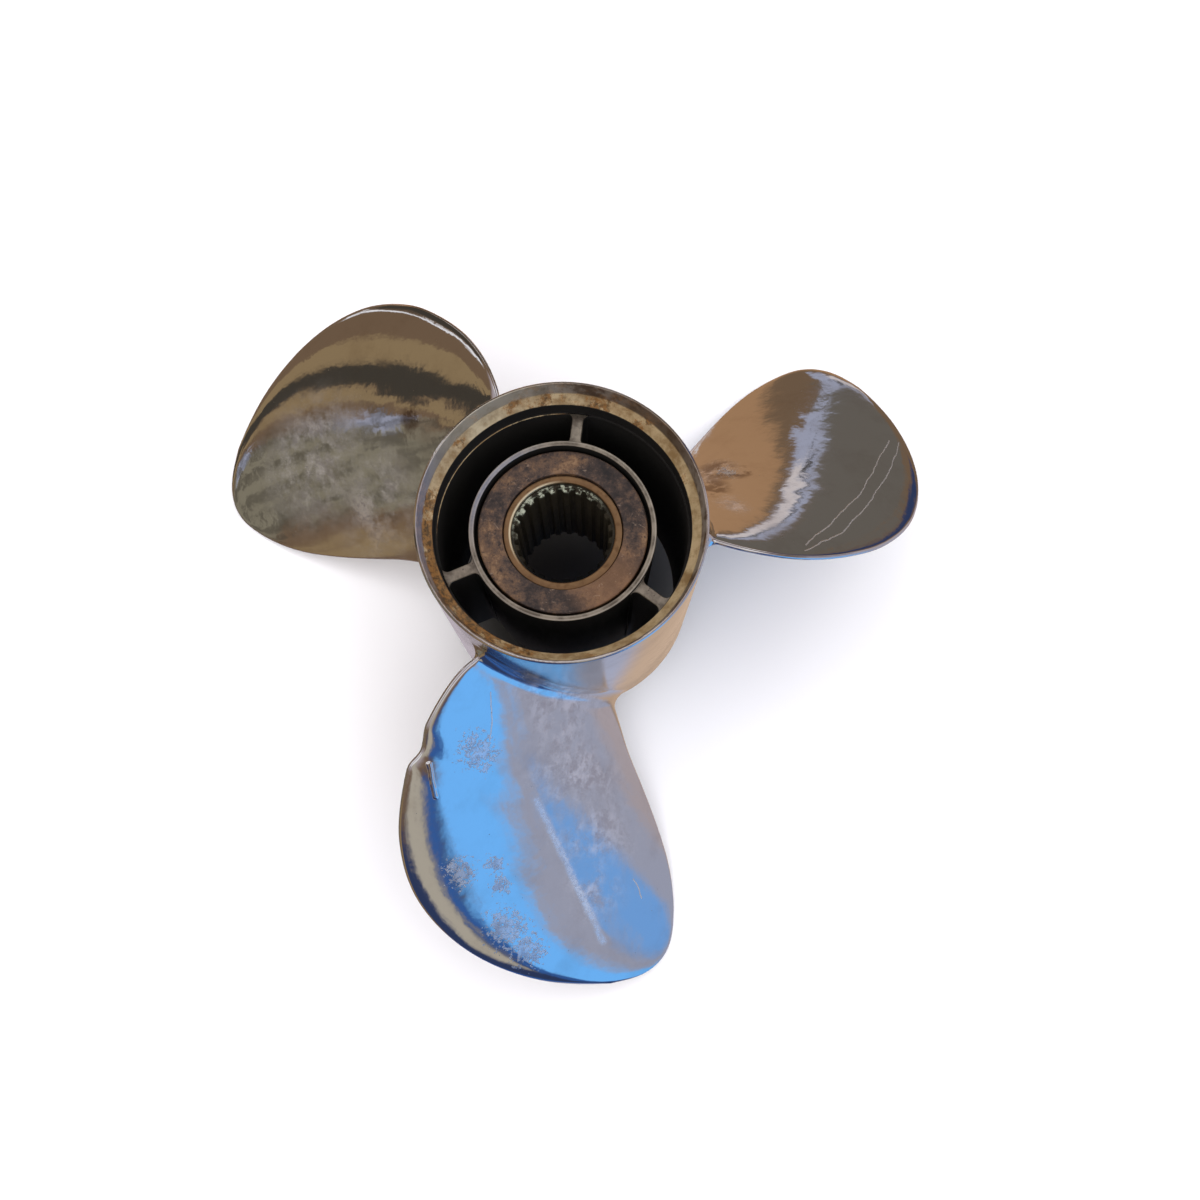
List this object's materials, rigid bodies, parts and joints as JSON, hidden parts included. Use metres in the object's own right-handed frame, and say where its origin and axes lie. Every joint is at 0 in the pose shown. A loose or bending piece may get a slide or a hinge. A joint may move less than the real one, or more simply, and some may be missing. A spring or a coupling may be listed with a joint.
{
  "type": "boat propeller",
  "caption": "Left-hand stainless boat propeller with raked blades, a through-hub exhaust, and a splined sleeve in a rubber bushing.",
  "frame": {"origin": "on the shaft axis, at the height of the centroid of the solids", "axes": "+Z along the shaft axis, towards the forward end of the hub; +Y through the first rib"},
  "size_m": [0.3384, 0.3215, 0.1326],
  "materials": {
    "polished_steel": "polished stainless casting with water stains and fine grinding lines",
    "cast_steel": "rough cast wall, dark with exhaust soot",
    "bushing_rubber": "dull rubber with rusty brown mottling",
    "sleeve_brass": "tarnished machined brass"
  },
  "bodies": {
    "root": {"barrel": "polished_steel", "blade_1": "polished_steel", "blade_2": "polished_steel", "blade_3": "polished_steel", "rib_1": "cast_steel", "rib_2": "cast_steel", "rib_3": "cast_steel", "inner_hub": "cast_steel", "rubber_bushing": "bushing_rubber", "spline_sleeve": "sleeve_brass"}
  },
  "joints": []
}
